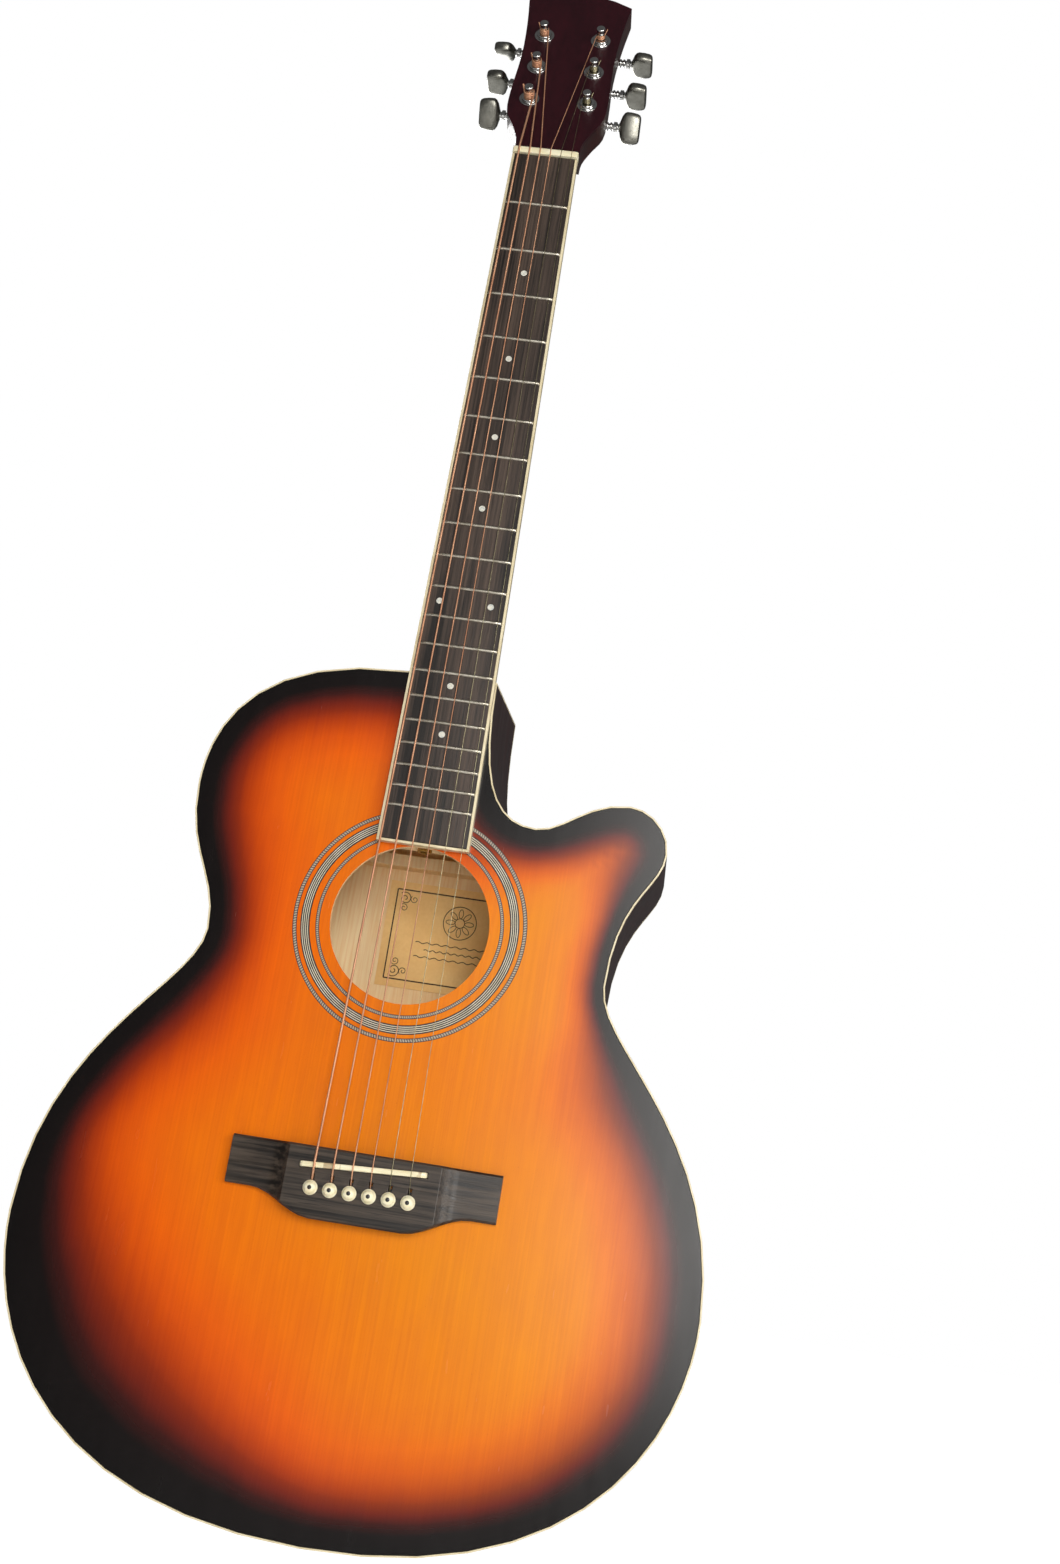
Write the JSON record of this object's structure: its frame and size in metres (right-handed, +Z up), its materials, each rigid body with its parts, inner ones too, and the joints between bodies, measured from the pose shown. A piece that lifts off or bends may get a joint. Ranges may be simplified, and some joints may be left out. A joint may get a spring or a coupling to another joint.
{
  "type": "acoustic guitar",
  "caption": "Steel-string acoustic guitar with a rounded cutaway, bound sunburst body, round soundhole, slim fretted neck, tilted head, geared tuners and a pinned bridge.",
  "frame": {"origin": "in the head's throat on the centreline, 18 mm above the nut's front edge and in the plane of the soundboard's face, where a wall hanger's arms hold the guitar", "axes": "+Z runs up the neck from the tail to the head, -Y is out of the soundboard's face, +X is towards the treble side with the cutaway"},
  "size_m": [0.3934, 0.1215, 1.0247],
  "materials": {
    "sunburst_spruce": "satin sunburst lacquer over spruce",
    "stained_mahogany": "satin dark red-brown stain",
    "plain_spruce": "bare sanded wood",
    "rosewood": "oiled, open pored",
    "cream_plastic": "polished cream edge binding",
    "bone": "polished bone or bone-like plastic",
    "bronze_wire": "bronze winding",
    "steel": "plain drawn steel",
    "nickel": "satin nickel plate",
    "brass": "turned brass",
    "paper": "aged tan paper",
    "black_plastic": "moulded black plastic"
  },
  "bodies": {
    "guitar": {"soundboard": "sunburst_spruce", "back_plate": "stained_mahogany", "rim_bass": "stained_mahogany", "rim_treble": "stained_mahogany", "neck": "stained_mahogany", "head_veneer": "stained_mahogany", "lining_top": "plain_spruce", "lining_back": "plain_spruce", "neck_block": "plain_spruce", "tail_block": "plain_spruce", "x_brace_bass": "plain_spruce", "x_brace_treble": "plain_spruce", "upper_transverse_brace": "plain_spruce", "bridge_plate": "plain_spruce", "back_brace_upper": "plain_spruce", "back_brace_waist": "plain_spruce", "back_brace_lower": "plain_spruce", "fretboard": "rosewood", "bridge": "rosewood", "heel_cap": "rosewood", "binding_top": "cream_plastic", "binding_back": "cream_plastic", "rosette_band": "cream_plastic", "fretboard_binding": "cream_plastic", "nut": "bone", "saddle": "bone", "string_low_e": "bronze_wire", "string_a": "bronze_wire", "string_d": "bronze_wire", "string_g": "bronze_wire", "string_b": "steel", "string_high_e": "steel", "truss_rod": "steel", "label": "paper", "end_pin": "black_plastic", "tuner_housing_low_e": "nickel", "tuner_housing_a": "nickel", "tuner_housing_d": "nickel", "tuner_housing_g": "nickel", "tuner_housing_b": "nickel", "tuner_housing_high_e": "nickel"},
    "rod_nut": {"truss_rod_nut": "brass"},
    "key_low_e": {"tuner_button_low_e": "nickel"},
    "post_low_e": {"tuner_post_low_e": "nickel"},
    "pin_low_e": {"bridge_pin_low_e": "bone"},
    "key_a": {"tuner_button_a": "nickel"},
    "post_a": {"tuner_post_a": "nickel"},
    "pin_a": {"bridge_pin_a": "bone"},
    "key_d": {"tuner_button_d": "nickel"},
    "post_d": {"tuner_post_d": "nickel"},
    "pin_d": {"bridge_pin_d": "bone"},
    "key_g": {"tuner_button_g": "nickel"},
    "post_g": {"tuner_post_g": "nickel"},
    "pin_g": {"bridge_pin_g": "bone"},
    "key_b": {"tuner_button_b": "nickel"},
    "post_b": {"tuner_post_b": "nickel"},
    "pin_b": {"bridge_pin_b": "bone"},
    "key_high_e": {"tuner_button_high_e": "nickel"},
    "post_high_e": {"tuner_post_high_e": "nickel"},
    "pin_high_e": {"bridge_pin_high_e": "bone"}
  },
  "joints": [
    {"name": "rod_nut_turn", "type": "hinge", "parent": "guitar", "child": "rod_nut", "pos_m": [0, 0.0085, -0.48096], "axis": [0, 0, 1], "range_deg": [-180, 180]},
    {"name": "key_low_e_turn", "type": "hinge", "parent": "guitar", "child": "key_low_e", "pos_m": [-0.0195, 0.03232, 0.03571], "axis": [-1, 0, 0], "continuous": true},
    {"name": "post_low_e_turn", "type": "hinge", "parent": "guitar", "child": "post_low_e", "pos_m": [-0.0195, 0.01161, 0.03407], "axis": [0, -0.9703, 0.2419], "continuous": true},
    {"name": "key_a_turn", "type": "hinge", "parent": "guitar", "child": "key_a", "pos_m": [-0.0195, 0.04007, 0.06676], "axis": [-1, 0, 0], "continuous": true},
    {"name": "post_a_turn", "type": "hinge", "parent": "guitar", "child": "post_a", "pos_m": [-0.0195, 0.01935, 0.06512], "axis": [0, -0.9703, 0.2419], "continuous": true},
    {"name": "key_d_turn", "type": "hinge", "parent": "guitar", "child": "key_d", "pos_m": [-0.0195, 0.04781, 0.09781], "axis": [-1, 0, 0], "continuous": true},
    {"name": "post_d_turn", "type": "hinge", "parent": "guitar", "child": "post_d", "pos_m": [-0.0195, 0.0271, 0.09617], "axis": [0, -0.9703, 0.2419], "continuous": true},
    {"name": "key_g_turn", "type": "hinge", "parent": "guitar", "child": "key_g", "pos_m": [0.0195, 0.04781, 0.09781], "axis": [1, 0, 0], "continuous": true},
    {"name": "post_g_turn", "type": "hinge", "parent": "guitar", "child": "post_g", "pos_m": [0.0195, 0.0271, 0.09617], "axis": [0, -0.9703, 0.2419], "continuous": true},
    {"name": "key_b_turn", "type": "hinge", "parent": "guitar", "child": "key_b", "pos_m": [0.0195, 0.04007, 0.06676], "axis": [1, 0, 0], "continuous": true},
    {"name": "post_b_turn", "type": "hinge", "parent": "guitar", "child": "post_b", "pos_m": [0.0195, 0.01935, 0.06512], "axis": [0, -0.9703, 0.2419], "continuous": true},
    {"name": "key_high_e_turn", "type": "hinge", "parent": "guitar", "child": "key_high_e", "pos_m": [0.0195, 0.03232, 0.03571], "axis": [1, 0, 0], "continuous": true},
    {"name": "post_high_e_turn", "type": "hinge", "parent": "guitar", "child": "post_high_e", "pos_m": [0.0195, 0.01161, 0.03407], "axis": [0, -0.9703, 0.2419], "continuous": true},
    {"name": "pin_low_e_pull", "type": "slide", "parent": "guitar", "child": "pin_low_e", "axis": [0, -1, 0], "range_m": [0, 0.025]},
    {"name": "pin_a_pull", "type": "slide", "parent": "guitar", "child": "pin_a", "axis": [0, -1, 0], "range_m": [0, 0.025]},
    {"name": "pin_d_pull", "type": "slide", "parent": "guitar", "child": "pin_d", "axis": [0, -1, 0], "range_m": [0, 0.025]},
    {"name": "pin_g_pull", "type": "slide", "parent": "guitar", "child": "pin_g", "axis": [0, -1, 0], "range_m": [0, 0.025]},
    {"name": "pin_b_pull", "type": "slide", "parent": "guitar", "child": "pin_b", "axis": [0, -1, 0], "range_m": [0, 0.025]},
    {"name": "pin_high_e_pull", "type": "slide", "parent": "guitar", "child": "pin_high_e", "axis": [0, -1, 0], "range_m": [0, 0.025]}
  ],
  "couplings": [
    {"joint": "post_low_e_turn", "follows": "key_low_e_turn", "ratio": -0.066667},
    {"joint": "post_a_turn", "follows": "key_a_turn", "ratio": -0.066667},
    {"joint": "post_d_turn", "follows": "key_d_turn", "ratio": -0.066667},
    {"joint": "post_g_turn", "follows": "key_g_turn", "ratio": 0.066667},
    {"joint": "post_b_turn", "follows": "key_b_turn", "ratio": 0.066667},
    {"joint": "post_high_e_turn", "follows": "key_high_e_turn", "ratio": 0.066667}
  ]
}
